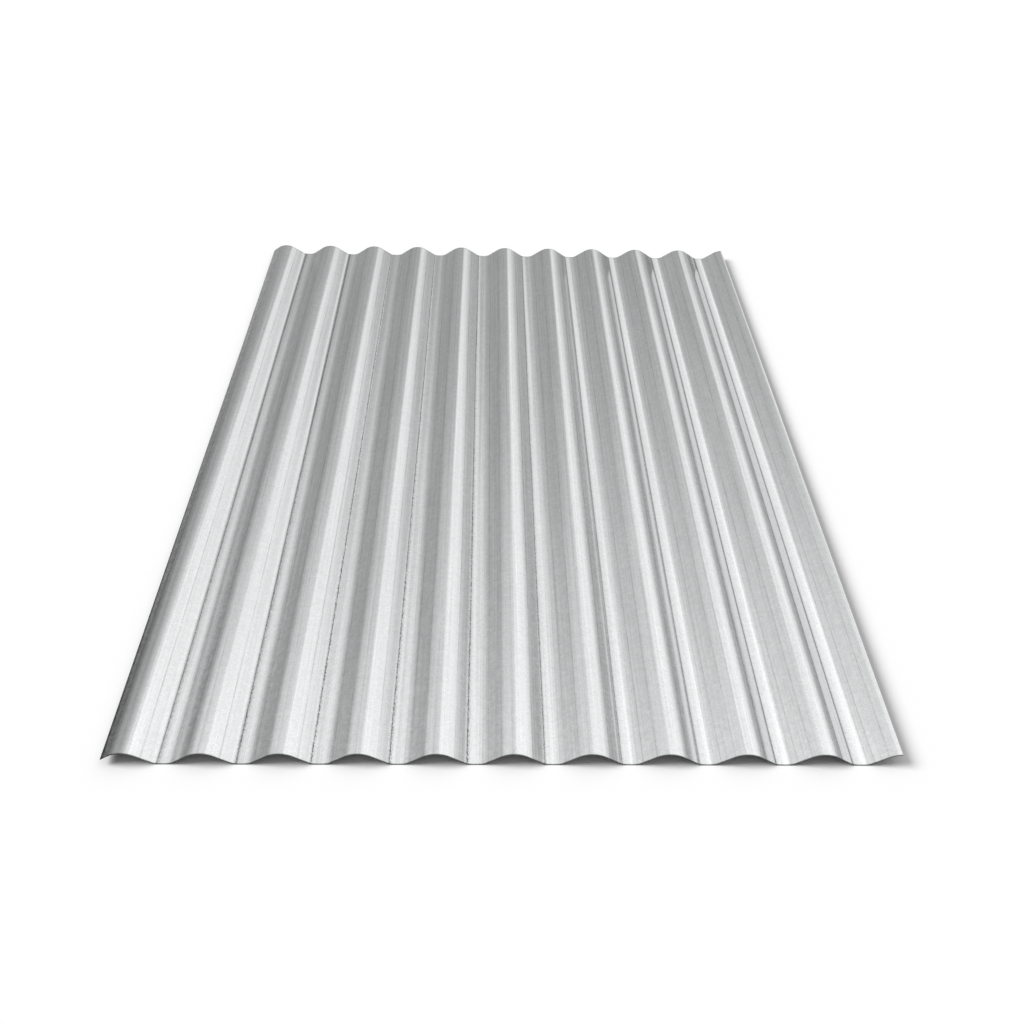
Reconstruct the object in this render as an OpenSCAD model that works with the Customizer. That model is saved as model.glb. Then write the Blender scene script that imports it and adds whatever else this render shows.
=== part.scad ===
// Corrugated galvanised roofing sheet: one sheet of steel, roll-formed into
// round crests and troughs that are joined by straight, sloping flanks.
// It lies with its troughs on z = 0, its corrugations run along Y, and the
// origin is under the middle of the sheet.

/* [Sheet] */
// Length along the corrugations
sheet_l = 1100; // [300:50:3000]
// Thickness of the steel
sheet_t = 0.5; // [0.3:0.05:1.2]

/* [Corrugation] */
// Distance from one crest line to the next
pitch = 76.2; // [62:0.1:95]
// Overall depth, from the underside of a trough to the top of a crest
depth = 16; // [13:0.5:20]
// Slope of the straight flanks, in degrees
flank_angle = 33; // [25:1:42]
// Whole corrugations from the first crest line to the last
corrugations = 10; // [2:1:14]

/* [Side edges] */
// How far the left edge reaches past the first crest line, down its flank
lip_w = 22; // [2:0.5:38]

/* [Hidden] */

// Even, so that a bend has a point on its crest or trough line
bend_steps = 12;

// The wave that the middle of the sheet's thickness follows. Its bends have
// the one radius at which the flanks run on from them with no corner.
wave_h = depth - sheet_t;
bend_r = (pitch / 2 * sin(flank_angle) - wave_h * cos(flank_angle))
    / (2 * (1 - cos(flank_angle)));
crest_centre_z = depth - sheet_t / 2 - bend_r;
trough_centre_z = sheet_t / 2 + bend_r;

// The right edge is cut along the last crest line
overall_w = corrugations * pitch + lip_w;
first_crest_x = lip_w - overall_w / 2;

// Points along a bend of radius r, from left to right. It curves over its
// centre at [x, z] where side is 1, and under it where side is -1.
function bend(x, z, r, side) =
    [for (i = [0 : bend_steps])
        let (a = flank_angle * (2 * i / bend_steps - 1))
        [x + r * sin(a), z + side * r * cos(a)]];

// The surface that lies `offset` above the middle of the sheet's thickness.
// The flanks are the straight lines between the bends.
function surface_line(offset) =
    [for (i = [0 : corrugations])
        let (crest_x = first_crest_x + i * pitch)
        each concat(
            bend(crest_x - pitch / 2, trough_centre_z, bend_r - offset, -1),
            bend(crest_x, crest_centre_z, bend_r + offset, 1)
        )];

function backwards(points) = [for (i = [len(points) - 1 : -1 : 0]) points[i]];

// The sheet seen from its end, cut off upright at both side edges
module section() {
    intersection() {
        polygon(concat(surface_line(sheet_t / 2), backwards(surface_line(-sheet_t / 2))));
        translate([-overall_w / 2, -depth]) square([overall_w, 3 * depth]);
    }
}

module corrugated_sheet() {
    color("silver")
        rotate([90, 0, 0])
            linear_extrude(height = sheet_l, center = true)
                section();
}

corrugated_sheet();
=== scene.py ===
import math

import bmesh
import bpy
from mathutils import Matrix, Vector


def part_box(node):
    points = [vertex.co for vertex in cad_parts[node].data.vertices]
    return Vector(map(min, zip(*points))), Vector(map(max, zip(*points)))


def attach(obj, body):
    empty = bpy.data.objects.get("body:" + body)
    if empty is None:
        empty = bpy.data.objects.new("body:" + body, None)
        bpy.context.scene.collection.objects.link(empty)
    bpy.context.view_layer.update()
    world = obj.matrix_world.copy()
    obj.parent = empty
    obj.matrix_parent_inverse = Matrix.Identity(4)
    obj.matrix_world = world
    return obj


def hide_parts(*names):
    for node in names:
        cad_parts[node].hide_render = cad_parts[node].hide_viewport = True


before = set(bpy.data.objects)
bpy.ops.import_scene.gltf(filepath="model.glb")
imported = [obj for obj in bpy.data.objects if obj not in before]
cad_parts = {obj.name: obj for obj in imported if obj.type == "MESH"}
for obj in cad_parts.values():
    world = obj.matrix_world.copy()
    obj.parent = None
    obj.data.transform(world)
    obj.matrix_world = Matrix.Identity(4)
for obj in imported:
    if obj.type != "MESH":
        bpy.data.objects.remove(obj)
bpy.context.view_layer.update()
sheetLow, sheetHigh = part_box("corrugated_sheet")


sheet = {  # metres and radians
    "pitch": 0.0762,  # one crest line to the next
    "steel": 0.0005,  # thickness
    "flankAngle": math.radians(33),
    "lip": 0.022,  # from the first crest line to the left edge
    "lipDrift": 0.0043,  # how much narrower the lip is at the near end
    "troughRadius": 0.04,  # the troughs are pressed a little flat in the middle
    "troughFlatAngle": math.radians(9),  # slope at which that flatter part ends
    "troughSteps": 3,  # from the middle of a trough to the end of its flatter part
    "footSteps": 6,  # in the tighter bend from there to the flank
    "flankSteps": 4,
    "crestSteps": 8,  # in half a crest
    "rows": 72,  # along the sheet
    "sharpAngle": math.radians(40),  # edges that turn more than this are shaded sharp
    "mergeDistance": 1e-6,
}


def crestRadius(depth):
    angle = sheet["flankAngle"]
    waveHeight = depth - sheet["steel"]
    spare = sheet["pitch"] / 2 * math.sin(angle) - waveHeight * math.cos(angle)
    return spare / (2 * (1 - math.cos(angle)))


def footRadius(depth):  # the one radius at which the flank runs on with no corner
    angle, flat = sheet["flankAngle"], sheet["troughFlatAngle"]
    crest, trough = crestRadius(depth), sheet["troughRadius"]
    spanX = sheet["pitch"] / 2 - crest * math.sin(angle) - trough * math.sin(flat)
    crestRise = crest * (1 - math.cos(angle))
    troughRise = trough * (1 - math.cos(flat))
    rise = depth - sheet["steel"] - crestRise - troughRise
    bendX, bendZ = math.sin(angle) - math.sin(flat), math.cos(flat) - math.cos(angle)
    return (spanX * math.tan(angle) - rise) / (bendX * math.tan(angle) - bendZ)


def lastVert(result):
    return [item for item in result["geom_last"] if isinstance(item, bmesh.types.BMVert)]


def addHalfWave(bm, nearY, depth):  # the underside, from a trough line to a crest line
    angle, flat = sheet["flankAngle"], sheet["troughFlatAngle"]
    crest, trough, foot = crestRadius(depth), sheet["troughRadius"], footRadius(depth)
    half = sheet["steel"] / 2  # the radii are those of the middle of the steel
    troughLine = Vector((sheet["pitch"] / 2, nearY, 0))
    troughCentre = troughLine + Vector((0, 0, half + trough))
    towardsFoot = Vector((-math.sin(flat), 0, -math.cos(flat)))
    footCentre = troughCentre + towardsFoot * (trough - foot)
    crestCentre = Vector((0, nearY, depth - half - crest))
    tip = [bm.verts.new(troughLine)]
    for centre, turn, steps in ((troughCentre, flat, sheet["troughSteps"]),
                                (footCentre, angle - flat, sheet["footSteps"])):
        bend = bmesh.ops.spin(bm, geom=tip, cent=centre, axis=(0, 1, 0), angle=turn, steps=steps)
        tip = lastVert(bend)
    flankTop = crestCentre + Vector((math.sin(angle), 0, math.cos(angle))) * (crest - half)
    flank = bmesh.ops.spin(bm, geom=tip, cent=troughLine, axis=(0, 1, 0), angle=0,
                           dvec=(flankTop - tip[0].co) / sheet["flankSteps"],
                           steps=sheet["flankSteps"])
    bmesh.ops.spin(bm, geom=lastVert(flank), cent=crestCentre, axis=(0, 1, 0), angle=-angle,
                   steps=sheet["crestSteps"])


def mergeDoubles(bm):
    bmesh.ops.remove_doubles(bm, verts=bm.verts, dist=sheet["mergeDistance"])


def makeSheetMesh(firstCrest):
    length = sheetHigh.y - sheetLow.y
    corrugations = round((sheetHigh.x - firstCrest) / sheet["pitch"])
    bm = bmesh.new()
    addHalfWave(bm, sheetLow.y, sheetHigh.z - sheetLow.z)
    bmesh.ops.mirror(bm, geom=bm.verts[:] + bm.edges[:], matrix=Matrix.Identity(4),
                     merge_dist=sheet["mergeDistance"], axis="X")
    wave = bm.verts[:] + bm.edges[:]
    for number in range(1, corrugations + 1):
        added = bmesh.ops.duplicate(bm, geom=wave)["geom"]
        addedVerts = [item for item in added if isinstance(item, bmesh.types.BMVert)]
        bmesh.ops.translate(bm, verts=addedVerts, vec=(number * sheet["pitch"], 0, 0))
    bmesh.ops.translate(bm, verts=bm.verts, vec=(firstCrest, 0, 0))
    mergeDoubles(bm)
    # trim both side edges: the steel's thickness leans the left one outwards again
    edgeLean = sheet["steel"] * math.sin(sheet["flankAngle"])
    leftX = sheetLow.x + edgeLean
    for x, side in ((leftX, -1), (sheetHigh.x, 1)):
        bmesh.ops.bisect_plane(bm, geom=bm.verts[:] + bm.edges[:], dist=1e-7,
                               plane_co=(x, 0, 0), plane_no=(side, 0, 0), clear_outer=True)
    bmesh.ops.spin(bm, geom=bm.verts[:] + bm.edges[:], cent=(0, 0, 0), axis=(0, 1, 0), angle=0,
                   dvec=(0, length / sheet["rows"], 0), steps=sheet["rows"])
    mergeDoubles(bm)
    bmesh.ops.recalc_face_normals(bm, faces=bm.faces)
    if sum(face.normal.z for face in bm.faces) < 0:
        bmesh.ops.reverse_faces(bm, faces=bm.faces)
    # the left edge is cut a little out of line with the waves
    alongFlank = Vector((1, 0, math.tan(sheet["flankAngle"])))
    for vert in [vert for vert in bm.verts if vert.co.x < leftX + 1e-5]:
        nearness = (sheetHigh.y - vert.co.y) / length
        vert.co += alongFlank * sheet["lipDrift"] * nearness
    print("sheet surface made:", len(bm.verts), "vertices")
    return bm


def addThickness(bm):
    bmesh.ops.solidify(bm, geom=bm.faces[:], thickness=-sheet["steel"])
    bmesh.ops.recalc_face_normals(bm, faces=bm.faces)
    for face in bm.faces:
        face.smooth = True
    for edge in bm.edges:
        edge.smooth = edge.calc_face_angle(math.pi) < sheet["sharpAngle"]


def newObject(name, bm, material):
    mesh = bpy.data.meshes.new(name)
    bm.to_mesh(mesh)
    bm.free()
    mesh.materials.append(material)
    piece = bpy.data.objects.new(name, mesh)
    bpy.context.scene.collection.objects.link(piece)
    return piece


# a place in the wave is a share of the pitch: 0 is a crest line, +-0.5 are trough lines
galvanised = {
    "colour": (0.77, 0.78, 0.785),
    "roughness": 0.15,
    "streakRoughness": 0.1,  # how far the streaks change the roughness
    "spangleRoughness": 0.05,
    # sizes are metres across and along the sheet, depths are changes of tone
    "grainSize": (0.0013, 0.00208),
    "grainDepth": 0.32,
    "spangleSize": 0.004,
    "spangleDepth": 0.06,
    "streakSize": (0.0022, 0.22),
    "streakDepth": 0.26,
    "cloudSize": (0.03, 0.35),
    "cloudDepth": 0.1,
    "reliefDepth": 0.000012,
    # painted light and shade over the wave: lighter in the troughs, a little darker on the crests
    "paintedLightOverWave": ((-0.5, 1.10), (-0.45, 1.14), (-0.4, 1.0), (-0.3, 1.04), (-0.15, 0.98),
                  (0, 0.96), (0.08, 1.02), (0.17, 1.02), (0.3, 0.97), (0.37, 1.0),
                  (0.42, 0.96), (0.46, 0.98), (0.5, 1.06)),
    # slope over the wave, in degrees: the shoulder right of a crest is eased
    "waveSlopes": ((-0.5, 3.3), (-0.46, -3.5), (-0.42, -9.6), (-0.385, -22.5), (-0.35, -29.5),
                   (-0.3, -31), (-0.172, -31.5), (-0.11, -21.5), (-0.05, -9.5), (0, -1),
                   (0.05, 8), (0.11, 16), (0.17, 23.5), (0.21, 27.5), (0.25, 31), (0.3, 33),
                   (0.35, 34), (0.385, 26), (0.42, 9.5), (0.46, 6.5), (0.5, 3.3)),
    "slopedAbove": 0.7,  # those slopes are only for faces that turn little from them
    # thin lines along the wave, partly roller marks and partly painted shade and painted
    # highlights at the bends and where a crest hides the flank: place in the wave, how much
    # darker (below 0: lighter), half width
    "rollerLinesAndPaintedLight": ((-0.41, 0.12, 0.010), (-0.335, 0.20, 0.012), (-0.162, 0.20, 0.012),
                    (-0.03, 0.12, 0.014), (0.236, 0.26, 0.012), (-0.465, -0.12, 0.012),
                    (0.075, -0.10, 0.014)),
    "lineBreakSize": (0.004, 0.05),
    "lineWeakest": 0.35,
    "driftSize": (0.06, 0.5),  # the lines wander over this size
    "lineDrift": 0.04,
    # foot of the flank right of each crest: a painted reflection of the dark neighbouring flank
    # as a line, with painted shade round it, and dotted scuffs
    "footPlace": 0.392,
    "footShift": 0.045,  # how much further out it is in the leftmost waves
    "footShiftX": (-0.27, -0.19),  # where that begins to fade and where it is gone
    "footPaintedReflectionLine": (0.34, 0.012),  # how much darker, half width
    "footPaintedShade": (0.17, 0.04),
    "scuffWidth": 0.045,
    "scuffDepth": 0.4,
    "scuffDrift": 0.08,
    "scuffDotSize": (0.001, 0.0024),
    "scuffCentreX": -0.15,  # the rolls were worn most here
    "scuffReachX": (0.084, 0.28),  # how far from there the scuffs begin and end fading
    "scuffWeakest": 0.25,
    "lipPaintedShade": 0.48,  # painted shade: the left edge is darker, most at the near end
    "lipReach": (0.02, 0.03),
    "farShadeShare": 0.1,  # share of that painted shade at the far end
    "undersidePaintedShade": 0.26,  # painted shade: the underside is darker
    "cutSteelAndShadeTone": 0.12,  # bare steel and painted shade along the cut ends
    "cutReach": 0.0018,  # how far in from the ends the worn zinc and painted shade reach
}


def addNode(tree, kind, values, **settings):
    node = tree.nodes.new("ShaderNode" + kind)
    for name, value in settings.items():
        setattr(node, name, value)
    for key, value in values.items():
        if isinstance(value, bpy.types.NodeSocket):
            tree.links.new(value, node.inputs[key])
        else:
            node.inputs[key].default_value = value
    return node


def compute(tree, operation, *terms):
    return addNode(tree, "Math", dict(enumerate(terms)), operation=operation).outputs[0]


def scaled(tree, vector, factor):
    values = {0: vector, "Scale": factor}
    return addNode(tree, "VectorMath", values, operation="SCALE").outputs[0]


def remap(tree, value, fromRange, toRange, kind="SMOOTHSTEP"):
    values = {"Value": value, "From Min": fromRange[0], "From Max": fromRange[1],
              "To Min": toRange[0], "To Max": toRange[1]}
    return addNode(tree, "MapRange", values, interpolation_type=kind).outputs["Result"]


def stretchedNoise(tree, place, size, detail=2, offset=0):
    across, along = size
    mapping = addNode(tree, "Mapping", {"Vector": place, "Location": (offset, offset, offset),
                                        "Scale": (1 / across, 1 / along, 1 / across)})
    values = {"Vector": mapping.outputs[0], "Scale": 1, "Detail": detail}
    return addNode(tree, "TexNoise", values).outputs["Fac"]


def vary(tree, value, pattern, depth):
    fromMiddle = compute(tree, "SUBTRACT", pattern, 0.5)
    return compute(tree, "MULTIPLY_ADD", fromMiddle, depth, value)


def ramp(tree, value, stops):
    node = addNode(tree, "ValToRGB", {"Fac": value})
    elements = node.color_ramp.elements
    while len(elements) < len(stops):
        elements.new(0.5)
    for element, (place, tone) in zip(elements, stops):
        element.position = place
        element.color = (tone, tone, tone, 1)
    return node.outputs[0]


def overWave(tree, phase, stops, low, high):
    shares = [(place + 0.5, (value - low) / (high - low)) for place, value in stops]
    share = ramp(tree, compute(tree, "ADD", phase, 0.5), shares)
    return compute(tree, "MULTIPLY_ADD", share, high - low, low)


def nearPhase(tree, phase, centre, width):  # 1 at the centre, 0 from the half width on
    away = compute(tree, "WRAP", compute(tree, "SUBTRACT", phase, centre), 0.5, -0.5)
    return remap(tree, compute(tree, "ABSOLUTE", away), (0, width), (1, 0))


def rolledNormal(tree, phase, faceNormal):
    stops = [(place, math.sin(math.radians(slope))) for place, slope in galvanised["waveSlopes"]]
    lean = overWave(tree, phase, stops, -1, 1)
    rest = compute(tree, "SUBTRACT", 1, compute(tree, "MULTIPLY", lean, lean))
    upright = compute(tree, "SQRT", rest)
    upper = addNode(tree, "CombineXYZ", {"X": lean, "Z": upright}).outputs[0]
    product = addNode(tree, "VectorMath", {0: upper, 1: faceNormal}, operation="DOT_PRODUCT")
    facing = product.outputs["Value"]
    turned = scaled(tree, upper, compute(tree, "SIGN", facing))
    closeness = compute(tree, "ABSOLUTE", facing)
    near = compute(tree, "GREATER_THAN", closeness, galvanised["slopedAbove"])
    values = {0: near, 4: faceNormal, 5: turned}
    return addNode(tree, "Mix", values, data_type="VECTOR").outputs[1]


def addRollerLinesAndPaintedLight(tree, tone, place, drifted):  # they break here and there
    broken = stretchedNoise(tree, place, galvanised["lineBreakSize"], offset=7)
    strength = remap(tree, broken, (0.3, 0.6), (galvanised["lineWeakest"], 1))
    # roller marks together with painted shade lines and painted highlight lines
    for linePlace, depth, width in galvanised["rollerLinesAndPaintedLight"]:
        line = compute(tree, "MULTIPLY", nearPhase(tree, drifted, linePlace, width), strength)
        tone = compute(tree, "MULTIPLY_ADD", line, -depth, tone)
    return tone


def addScuffsAndPaintedFootShade(tree, tone, place, x, phase, drifted, drift):
    shift = remap(tree, x, galvanised["footShiftX"], (galvanised["footShift"], 0))
    footPlace = compute(tree, "ADD", galvanised["footPlace"], shift)
    # painted reflection line and painted shade at the foot of the flank
    for depth, width in (galvanised["footPaintedReflectionLine"], galvanised["footPaintedShade"]):
        footPaintedDarkening = nearPhase(tree, drifted, footPlace, width)
        tone = compute(tree, "MULTIPLY_ADD", footPaintedDarkening, -depth, tone)
    scuffPlace = compute(tree, "MULTIPLY_ADD", drift, galvanised["scuffDrift"], footPlace)
    band = nearPhase(tree, phase, scuffPlace, galvanised["scuffWidth"])
    speckle = stretchedNoise(tree, place, galvanised["scuffDotSize"], offset=5)
    dots = remap(tree, speckle, (0.42, 0.6), (0, 1))
    awayX = compute(tree, "ABSOLUTE", compute(tree, "SUBTRACT", x, galvanised["scuffCentreX"]))
    worn = remap(tree, awayX, galvanised["scuffReachX"], (1, galvanised["scuffWeakest"]))
    scuff = compute(tree, "MULTIPLY", compute(tree, "MULTIPLY", band, dots), worn)
    return compute(tree, "MULTIPLY_ADD", scuff, -galvanised["scuffDepth"], tone)


def addEdgeWearAndShade(tree, tone, axes, faceNormal):  # painted shade on the lip and the underside, bare steel and painted shade at the cut ends
    fromLeft = compute(tree, "SUBTRACT", axes["X"], sheetLow.x)
    # painted shade along the left edge, strongest at the near end
    lip = remap(tree, fromLeft, galvanised["lipReach"], (galvanised["lipPaintedShade"], 0))
    shares = (1, galvanised["farShadeShare"])
    nearness = remap(tree, axes["Y"], (sheetLow.y, sheetHigh.y), shares, kind="LINEAR")
    lipShadeFactor = compute(tree, "SUBTRACT", 1, compute(tree, "MULTIPLY", lip, nearness))
    upward = addNode(tree, "SeparateXYZ", {0: faceNormal}).outputs["Z"]
    # painted shade on the faces that look down
    side = remap(tree, upward, (-0.3, 0.1), (galvanised["undersidePaintedShade"], 1))
    # bare steel and painted shade along both cut ends
    endRange = (sheetHigh.y - galvanised["cutReach"], sheetHigh.y)
    fromMiddle = compute(tree, "ABSOLUTE", axes["Y"])
    cut = remap(tree, fromMiddle, endRange, (1, galvanised["cutSteelAndShadeTone"]))
    tone = compute(tree, "MULTIPLY", tone, lipShadeFactor)
    return compute(tree, "MULTIPLY", tone, compute(tree, "MULTIPLY", side, cut))


def makeGalvanised(firstCrest):
    material = bpy.data.materials.new("galvanisedSteel")
    material.use_nodes = True
    tree = material.node_tree
    shader = tree.nodes["Principled BSDF"]
    coordinates = addNode(tree, "TexCoord", {}).outputs
    place, faceNormal = coordinates["Object"], coordinates["Normal"]
    axes = addNode(tree, "SeparateXYZ", {0: place}).outputs
    fromCrest = compute(tree, "SUBTRACT", axes["X"], firstCrest)
    wave = compute(tree, "DIVIDE", fromCrest, sheet["pitch"])
    phase = compute(tree, "WRAP", wave, 0.5, -0.5)
    grain = stretchedNoise(tree, place, galvanised["grainSize"])
    cells = addNode(tree, "TexVoronoi", {"Vector": place, "Scale": 1 / galvanised["spangleSize"]})
    spangle = addNode(tree, "SeparateColor", {0: cells.outputs["Color"]}).outputs[0]
    streak = stretchedNoise(tree, place, galvanised["streakSize"], detail=3)
    cloud = stretchedNoise(tree, place, galvanised["cloudSize"], offset=3)
    wander = stretchedNoise(tree, place, galvanised["driftSize"], detail=1, offset=9)
    drift = compute(tree, "SUBTRACT", wander, 0.5)
    drifted = compute(tree, "MULTIPLY_ADD", drift, galvanised["lineDrift"], phase)
    # painted light and shade over the wave
    tone = overWave(tree, phase, galvanised["paintedLightOverWave"], 0, 2)
    tone = vary(tree, tone, grain, galvanised["grainDepth"])
    tone = vary(tree, tone, spangle, galvanised["spangleDepth"])
    tone = vary(tree, tone, streak, galvanised["streakDepth"])
    tone = vary(tree, tone, cloud, galvanised["cloudDepth"])
    tone = addRollerLinesAndPaintedLight(tree, tone, place, drifted)
    tone = addScuffsAndPaintedFootShade(tree, tone, place, axes["X"], phase, drifted, drift)
    tone = addEdgeWearAndShade(tree, tone, axes, faceNormal)
    tree.links.new(scaled(tree, galvanised["colour"], tone), shader.inputs["Base Color"])
    roughness = vary(tree, galvanised["roughness"], streak, galvanised["streakRoughness"])
    roughness = vary(tree, roughness, spangle, galvanised["spangleRoughness"])
    tree.links.new(roughness, shader.inputs["Roughness"])
    shader.inputs["Metallic"].default_value = 1
    relief = compute(tree, "MULTIPLY_ADD", streak, 0.6, compute(tree, "MULTIPLY", grain, 0.25))
    bump = addNode(tree, "Bump", {"Height": relief, "Strength": 1,
                                  "Distance": galvanised["reliefDepth"],
                                  "Normal": rolledNormal(tree, phase, faceNormal)})
    tree.links.new(bump.outputs[0], shader.inputs["Normal"])
    print("galvanised steel made")
    return material


firstCrest = sheetLow.x + sheet["lip"]
sheetMesh = makeSheetMesh(firstCrest)
addThickness(sheetMesh)
sheetPiece = newObject("galvanised_sheet", sheetMesh, makeGalvanised(firstCrest))
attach(sheetPiece, "root")
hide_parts("corrugated_sheet")
print("sheet made")


studio = {
    "floorSize": 12,
    "floorColour": (0.585, 0.585, 0.585, 1),
    "floorRoughness": 0.9,
    # light of the room: azimuth right of +Y, then tones by elevation, both in degrees
    "farLeft": (-55, ((0, 0.12), (6, 0.28), (10, 0.40), (15, 0.44), (20, 0.52), (28, 0.78),
                      (33, 0.86), (40, 0.92), (54, 1.0), (90, 1.2))),
    "left": (-15, ((0, 0.40), (10, 0.37), (15, 0.37), (23, 0.44), (28, 0.48), (33, 0.56),
                   (38, 0.69), (44, 0.76), (54, 0.92), (90, 1.1))),
    "right": (20, ((0, 0.14), (6, 0.36), (10, 0.48), (16, 0.56), (21, 0.84), (28, 0.98),
                   (38, 0.98), (44, 1.02), (54, 1.2), (90, 1.3))),
    "farRight": (50, ((0, 0.10), (6, 0.30), (10, 0.45), (16, 0.50), (20, 0.64), (24, 0.95),
                      (28, 1.08), (38, 1.16), (54, 1.3), (90, 1.4))),
    "brightest": 2,  # above every tone, because a ramp holds 0 to 1
    "wallEdge": (5, 11.5),  # azimuths over which the left wall changes to the right one
    "nearSide": 0.6,  # share of that light on the near side of the room
    "nearSideY": (-0.45, 0.15),  # where the near side ends and where the full light begins
    "keyAzimuth": math.radians(-86),
    "keyElevation": math.radians(42),
    "keyStrength": 4.2,
    "keySpread": math.radians(30),
}


def makeFloor():
    bm = bmesh.new()
    bmesh.ops.create_grid(bm, x_segments=1, y_segments=1, size=studio["floorSize"] / 2)
    material = bpy.data.materials.new("paleFloor")
    material.use_nodes = True
    shader = material.node_tree.nodes["Principled BSDF"]
    shader.inputs["Base Color"].default_value = studio["floorColour"]
    shader.inputs["Roughness"].default_value = studio["floorRoughness"]
    shader.inputs["Specular IOR Level"].default_value = 0
    floor = newObject("floor", bm, material)


def blend(tree, share, first, second):
    values = {0: share, 6: first, 7: second}
    return addNode(tree, "Mix", values, data_type="RGBA").outputs[2]


def heightTone(tree, elevation, stops):
    shares = [(degrees / 90, tone / studio["brightest"]) for degrees, tone in stops]
    return ramp(tree, compute(tree, "DIVIDE", elevation, 90), shares)


def wallTone(tree, azimuth, elevation, wall, farWall):
    nearAzimuth, nearStops = studio[wall]
    farAzimuth, farStops = studio[farWall]
    share = remap(tree, azimuth, (nearAzimuth, farAzimuth), (0, 1), kind="LINEAR")
    return blend(tree, share, heightTone(tree, elevation, nearStops),
                 heightTone(tree, elevation, farStops))


def makeRoom():
    world = bpy.data.worlds.new("studioRoom")
    world.use_nodes = True
    tree = world.node_tree
    direction = addNode(tree, "TexCoord", {}).outputs["Generated"]
    axes = addNode(tree, "SeparateXYZ", {0: direction}).outputs
    azimuth = compute(tree, "DEGREES", compute(tree, "ARCTAN2", axes["X"], axes["Y"]))
    elevation = compute(tree, "DEGREES", compute(tree, "ARCSINE", axes["Z"]))
    leftTone = wallTone(tree, azimuth, elevation, "left", "farLeft")
    rightTone = wallTone(tree, azimuth, elevation, "right", "farRight")
    rightShare = remap(tree, azimuth, studio["wallEdge"], (0, 1))
    background = tree.nodes["Background"]
    tree.links.new(blend(tree, rightShare, leftTone, rightTone), background.inputs["Color"])
    strengths = (studio["nearSide"] * studio["brightest"], studio["brightest"])
    strength = remap(tree, axes["Y"], studio["nearSideY"], strengths)
    tree.links.new(strength, background.inputs["Strength"])
    bpy.context.scene.world = world


def makeKeyLamp():
    azimuth, elevation = studio["keyAzimuth"], studio["keyElevation"]
    away = Vector((math.sin(azimuth) * math.cos(elevation),
                   math.cos(azimuth) * math.cos(elevation), math.sin(elevation)))
    light = bpy.data.lights.new("key", "SUN")
    light.energy = studio["keyStrength"]
    light.angle = studio["keySpread"]
    lamp = bpy.data.objects.new("key", light)
    lamp.rotation_euler = away.to_track_quat("Z", "Y").to_euler()
    bpy.context.scene.collection.objects.link(lamp)


viewpoint = {
    "place": (-0.0186, -1.216, 0.868),
    "heading": math.radians(1.77),  # to the right of +Y
    "downTilt": math.radians(39.38),
    "roll": math.radians(1.55),
    "lens": 38.215,  # mm, on a sensor 36 mm wide
}


def makeCamera():
    data = bpy.data.cameras.new("camera")
    data.sensor_width = 36
    data.lens = viewpoint["lens"]
    camera = bpy.data.objects.new("camera", data)
    camera.matrix_world = (Matrix.Translation(viewpoint["place"])
                           @ Matrix.Rotation(-viewpoint["heading"], 4, "Z")
                           @ Matrix.Rotation(math.pi / 2 - viewpoint["downTilt"], 4, "X")
                           @ Matrix.Rotation(viewpoint["roll"], 4, "Z"))
    bpy.context.scene.collection.objects.link(camera)
    bpy.context.scene.camera = camera


makeFloor()
makeRoom()
makeKeyLamp()
makeCamera()
bpy.context.scene.view_settings.view_transform = "Standard"
print("studio made")

bpy.context.view_layer.update()
